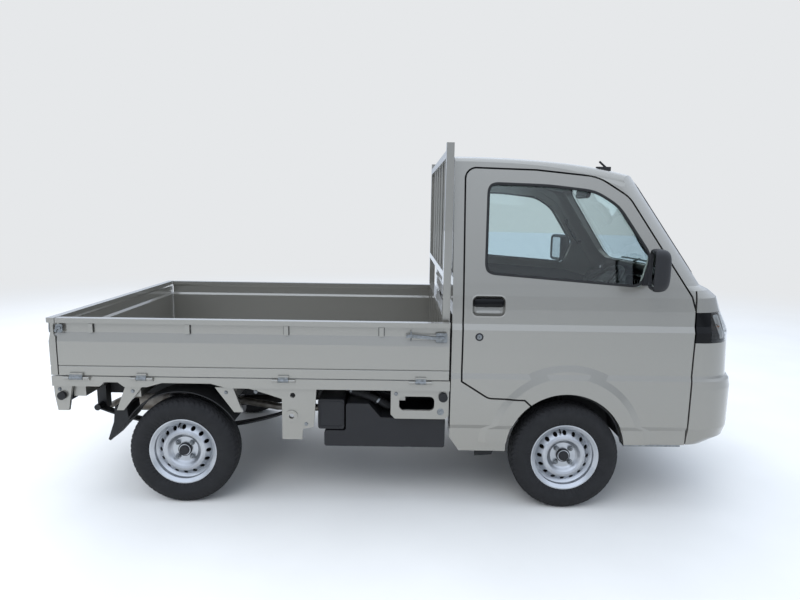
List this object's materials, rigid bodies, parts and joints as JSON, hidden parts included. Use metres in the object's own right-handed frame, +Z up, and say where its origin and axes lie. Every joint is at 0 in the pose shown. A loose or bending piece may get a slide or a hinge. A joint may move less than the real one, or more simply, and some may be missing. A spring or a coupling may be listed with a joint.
{
  "type": "kei truck",
  "caption": "Small cab-over pickup truck with hinged doors, drop-side bed, guard frame behind the cab, steered front wheels and rolling wheels.",
  "frame": {"origin": "on the ground under the middle of the overall length and width", "axes": "+X forward, +Y to the vehicle's left, +Z up"},
  "size_m": [3.3949, 1.81, 1.79],
  "materials": {
    "body_paint": "glossy metallic paint",
    "chassis_black": "satin chassis paint",
    "black_plastic": "grained moulded plastic",
    "dash_plastic": "grained moulded plastic",
    "window_glass": "clear, lightly tinted",
    "clear_lens": "clear moulded cover",
    "lamp_red": "clear red lens",
    "rubber_black": "dull",
    "tyre_rubber": "dull",
    "wheel_silver": "silver enamel",
    "axle_iron": "rough",
    "bare_steel": "dull",
    "seat_fabric": "woven"
  },
  "bodies": {
    "chassis": {"cab_shell": "body_paint", "cab_glass": "window_glass", "front_panel": "body_paint", "headlamp_lenses": "clear_lens", "headlamp_housings": "black_plastic", "front_bumper": "body_paint", "dashboard": "dash_plastic", "steering_column": "black_plastic", "seat_cushions": "seat_fabric", "seat_backs": "seat_fabric", "frame_rails": "chassis_black", "bed_floor": "body_paint", "guard_frame": "body_paint", "bed_stays": "body_paint", "gate_stops": "rubber_black", "arch_liners": "rubber_black", "side_boxes": "black_plastic", "engine": "axle_iron", "driveline": "axle_iron", "exhaust": "bare_steel", "rear_axle": "chassis_black", "suspension": "chassis_black", "tail_lamps": "lamp_red", "wipers": "black_plastic", "antenna": "black_plastic"},
    "steering_wheel": {"steering_wheel": "dash_plastic"},
    "door_right": {"door_right": "body_paint", "door_right_glass": "window_glass", "door_right_trim": "black_plastic"},
    "door_left": {"door_left": "body_paint", "door_left_glass": "window_glass", "door_left_trim": "black_plastic"},
    "side_gate_right": {"side_gate_right": "body_paint"},
    "side_gate_left": {"side_gate_left": "body_paint"},
    "tailgate": {"tailgate": "body_paint"},
    "knuckle_right": {"knuckle_right": "axle_iron"},
    "knuckle_left": {"knuckle_left": "axle_iron"},
    "wheel_front_right": {"rim_front_right": "wheel_silver", "tyre_front_right": "tyre_rubber"},
    "wheel_front_left": {"rim_front_left": "wheel_silver", "tyre_front_left": "tyre_rubber"},
    "wheel_rear_right": {"rim_rear_right": "wheel_silver", "tyre_rear_right": "tyre_rubber"},
    "wheel_rear_left": {"rim_rear_left": "wheel_silver", "tyre_rear_left": "tyre_rubber"}
  },
  "joints": [
    {"name": "door_right_swing", "type": "hinge", "parent": "chassis", "child": "door_right", "pos_m": [1.402, -0.737, 0.6], "axis": [0, 0.03, 0.9996], "range_deg": [0, 65]},
    {"name": "door_left_swing", "type": "hinge", "parent": "chassis", "child": "door_left", "pos_m": [1.402, 0.737, 0.6], "axis": [0, 0.03, -0.9996], "range_deg": [0, 65]},
    {"name": "side_gate_right_drop", "type": "hinge", "parent": "chassis", "child": "side_gate_right", "pos_m": [-0.7, -0.744, 0.654], "axis": [1, 0, 0], "range_deg": [0, 178]},
    {"name": "side_gate_left_drop", "type": "hinge", "parent": "chassis", "child": "side_gate_left", "pos_m": [-0.7, 0.744, 0.654], "axis": [-1, 0, 0], "range_deg": [0, 178]},
    {"name": "tailgate_drop", "type": "hinge", "parent": "chassis", "child": "tailgate", "pos_m": [-1.6905, 0, 0.654], "axis": [0, -1, 0], "range_deg": [0, 178]},
    {"name": "steer_right", "type": "hinge", "parent": "chassis", "child": "knuckle_right", "pos_m": [0.829, -0.6, 0.268], "axis": [0, 0.2334, 0.9724], "range_deg": [-35, 35]},
    {"name": "steer_left", "type": "hinge", "parent": "chassis", "child": "knuckle_left", "pos_m": [0.829, 0.6, 0.268], "axis": [0, -0.2334, 0.9724], "range_deg": [-36, 36]},
    {"name": "steering_wheel_turn", "type": "hinge", "parent": "chassis", "child": "steering_wheel", "pos_m": [1.04, -0.33, 1.07], "axis": [-0.6428, 0, 0.766], "range_deg": [-562, 562]},
    {"name": "wheel_front_right_spin", "type": "hinge", "parent": "knuckle_right", "child": "wheel_front_right", "pos_m": [0.829, -0.6525, 0.268], "axis": [0, 1, 0], "continuous": true},
    {"name": "wheel_front_left_spin", "type": "hinge", "parent": "knuckle_left", "child": "wheel_front_left", "pos_m": [0.829, 0.6525, 0.268], "axis": [0, 1, 0], "continuous": true},
    {"name": "wheel_rear_right_spin", "type": "hinge", "parent": "chassis", "child": "wheel_rear_right", "pos_m": [-1.076, -0.645, 0.268], "axis": [0, 1, 0], "continuous": true},
    {"name": "wheel_rear_left_spin", "type": "hinge", "parent": "chassis", "child": "wheel_rear_left", "pos_m": [-1.076, 0.645, 0.268], "axis": [0, 1, 0], "continuous": true}
  ],
  "couplings": [
    {"joint": "steer_left", "follows": "steer_right", "ratio": 1},
    {"joint": "steering_wheel_turn", "follows": "steer_right", "ratio": 16}
  ]
}
